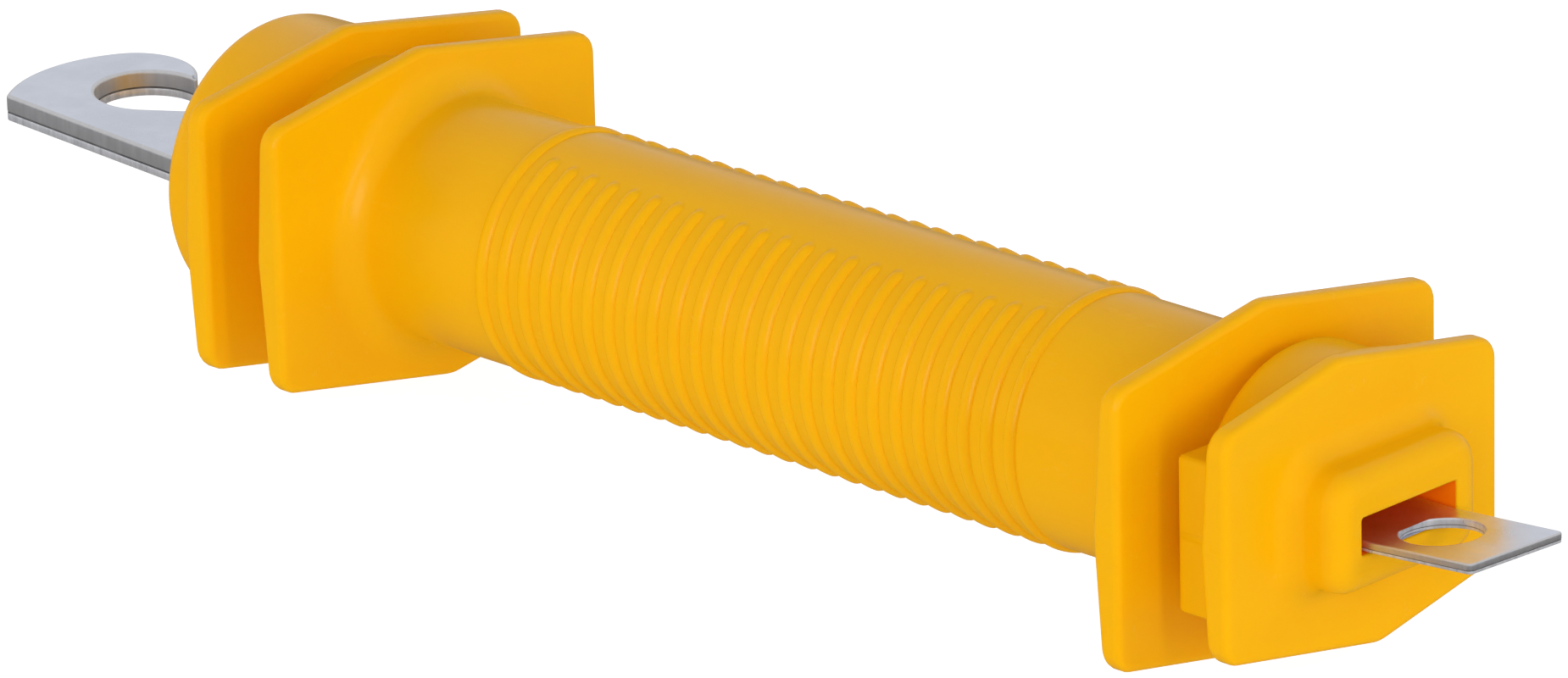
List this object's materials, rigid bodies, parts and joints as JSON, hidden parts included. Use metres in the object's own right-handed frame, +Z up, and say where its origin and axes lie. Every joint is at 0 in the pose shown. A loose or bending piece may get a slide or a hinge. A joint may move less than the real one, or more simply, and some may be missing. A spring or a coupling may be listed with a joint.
{
  "type": "insulated electric fence gate handle",
  "caption": "Yellow ribbed grip with guard flanges; a flat hook slides out of one end, a drilled eye plate out of the other, both against an inner spring.",
  "frame": {"origin": "centre of the bounding box of the whole handle, on the axis of the grip", "axes": "+X along the grip from the hook to the eye plate, +Y across the flat bars, +Z up, square to the bars' faces"},
  "size_m": [0.2413, 0.054, 0.0426],
  "materials": {
    "yellow_plastic": "smooth injection moulded, semi-gloss",
    "zinc_plated_steel": "bright zinc plating, sheared edges darker",
    "spring_steel": "drawn wire, lightly oiled"
  },
  "bodies": {
    "handle": {"grip_body": "yellow_plastic", "hook_end_cap": "yellow_plastic", "eye_end_cap": "yellow_plastic", "compression_spring": "spring_steel"},
    "hook_drawbar": {"hook_bar": "zinc_plated_steel", "hook_bar_retainer": "zinc_plated_steel", "hook_bar_thrust_washer": "zinc_plated_steel"},
    "eye_drawbar": {"eye_bar": "zinc_plated_steel", "eye_bar_retainer": "zinc_plated_steel", "eye_bar_thrust_washer": "zinc_plated_steel"}
  },
  "joints": [
    {"name": "hook_slide", "type": "slide", "parent": "handle", "child": "hook_drawbar", "axis": [-1, 0, 0], "range_m": [0, 0.02], "stiffness_N_per_m": 800, "springref_m": -0.01, "deforming": ["compression_spring"]},
    {"name": "eye_slide", "type": "slide", "parent": "handle", "child": "eye_drawbar", "axis": [1, 0, 0], "range_m": [0, 0.02], "stiffness_N_per_m": 800, "springref_m": -0.01, "deforming": ["compression_spring"]}
  ]
}
